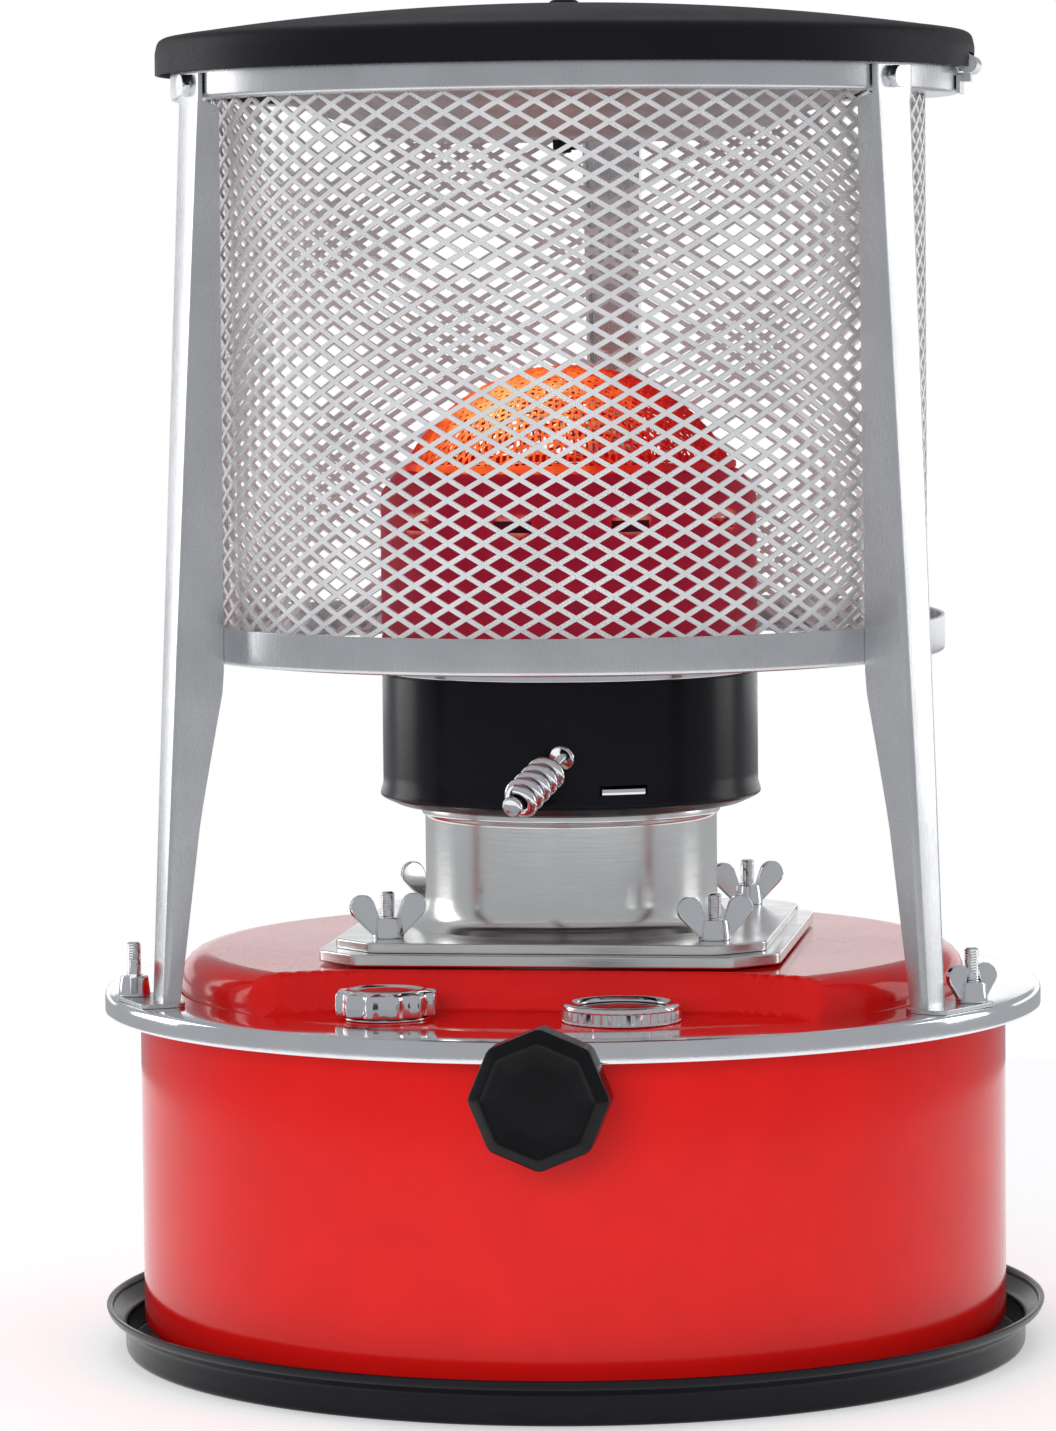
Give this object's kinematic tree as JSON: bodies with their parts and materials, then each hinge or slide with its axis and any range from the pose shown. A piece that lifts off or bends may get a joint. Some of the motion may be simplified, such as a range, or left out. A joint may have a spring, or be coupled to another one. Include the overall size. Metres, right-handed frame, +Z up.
{
  "type": "kerosene heater",
  "caption": "Round red wick-type kerosene heater with a drip tray, a lift-off domed burner and a wire guard on three legs under a hinged black lid.",
  "frame": {"origin": "centre of the drip tray underside, on the heater axis", "axes": "+Z up along the heater axis; the wick knob faces -Y; +X is to the right seen from the knob"},
  "size_m": [0.3286, 0.3453, 0.468],
  "materials": {
    "black_enamel": "baked gloss black enamel",
    "red_enamel": "high gloss red enamel",
    "chrome_plate": "bright plating",
    "zinc_steel": "zinc plated pressed steel",
    "mesh_wire": "bright expanded steel mesh",
    "aluminised_steel": "satin aluminised sheet",
    "cast_aluminium": "turned and satin finished casting",
    "brass": "plain machined brass",
    "knob_plastic": "moulded black phenolic",
    "hot_steel": "heat resistant steel glowing red",
    "hot_mesh": "fine heat resistant mesh glowing orange",
    "heat_stained_steel": "heat stained steel",
    "gauge_lens": "clear glass over a dark dial",
    "dial_face": "dark printed dial",
    "needle_red": "red pointer",
    "gasket_rubber": "fuel proof rubber",
    "gasket_fibre": "pressed fibre gasket",
    "wick_cotton": "braided cotton",
    "float_cork": "varnished cork"
  },
  "bodies": {
    "heater": {"drip_tray": "black_enamel", "tank_spacers": "black_enamel", "tank_shell": "red_enamel", "tank_top": "red_enamel", "collar_ring": "chrome_plate", "filler_neck": "chrome_plate", "gauge_bezel": "chrome_plate", "throat_studs": "chrome_plate", "throat_wing_nuts": "chrome_plate", "foot_studs": "chrome_plate", "foot_wing_nuts": "chrome_plate", "lower_ring": "zinc_steel", "upper_ring": "zinc_steel", "leg_left": "zinc_steel", "leg_right": "zinc_steel", "leg_back": "zinc_steel", "ring_screws": "zinc_steel", "leg_bolts": "zinc_steel", "hinge_bracket": "zinc_steel", "draught_tube": "zinc_steel", "shaft_bracket": "zinc_steel", "gauge_body": "zinc_steel", "guard_mesh": "mesh_wire", "throat": "cast_aluminium", "wick_guide": "cast_aluminium", "fuel_strainer": "brass", "shaft_bush": "brass", "gland_nut": "brass", "gauge_glass": "gauge_lens", "gauge_dial": "dial_face", "throat_gasket": "gasket_fibre"},
    "lid": {"lid": "black_enamel", "hinge_leaf": "zinc_steel", "hinge_pin": "zinc_steel", "heat_deflector": "aluminised_steel", "deflector_spacer": "zinc_steel", "deflector_bolt": "zinc_steel"},
    "burner": {"burner_collar": "black_enamel", "burner_rim": "chrome_plate", "inner_flame_cylinder": "heat_stained_steel", "outer_flame_cylinder": "hot_steel", "flame_spreader": "heat_stained_steel", "burner_pin": "zinc_steel", "dome_mesh": "hot_mesh", "handle_rod": "chrome_plate", "handle_coil": "chrome_plate"},
    "filler_cap": {"filler_cap": "chrome_plate", "cap_gasket": "gasket_rubber"},
    "wick_knob": {"knob": "knob_plastic", "knob_grub_screw": "zinc_steel", "wick_shaft": "zinc_steel", "pinion": "brass"},
    "wick_carriage": {"wick_carrier": "brass", "wicks": "wick_cotton"},
    "float": {"float_arm": "brass", "float": "float_cork"},
    "gauge_needle": {"gauge_needle": "needle_red"}
  },
  "joints": [
    {"name": "lid_hinge", "type": "hinge", "parent": "heater", "child": "lid", "pos_m": [0.14, 0, 0.4435], "axis": [0, 1, 0], "range_deg": [0, 100]},
    {"name": "burner_lift", "type": "slide", "parent": "heater", "child": "burner", "axis": [0, 0, 1], "range_m": [0, 0.03]},
    {"name": "cap_lift", "type": "slide", "parent": "heater", "child": "filler_cap", "axis": [0, 0, 1], "range_m": [0, 0.03]},
    {"name": "knob_turn", "type": "hinge", "parent": "heater", "child": "wick_knob", "pos_m": [0.0117, -0.17, 0.11], "axis": [0, 1, 0], "range_deg": [0, 150]},
    {"name": "wick_lift", "type": "slide", "parent": "heater", "child": "wick_carriage", "axis": [0, 0, 1], "range_m": [0, 0.0157]},
    {"name": "float_swing", "type": "hinge", "parent": "heater", "child": "float", "pos_m": [0.03031, -0.10782, 0.07], "axis": [0.6018, -0.7986, 0], "range_deg": [0, 70]},
    {"name": "needle_turn", "type": "hinge", "parent": "heater", "child": "gauge_needle", "pos_m": [0.03031, -0.10782, 0.13], "axis": [0, 0, -1], "range_deg": [0, 105.1]}
  ],
  "couplings": [
    {"joint": "knob_turn", "follows": "wick_lift", "rad_per_m": 166.67},
    {"joint": "needle_turn", "follows": "float_swing", "ratio": 1.5}
  ]
}
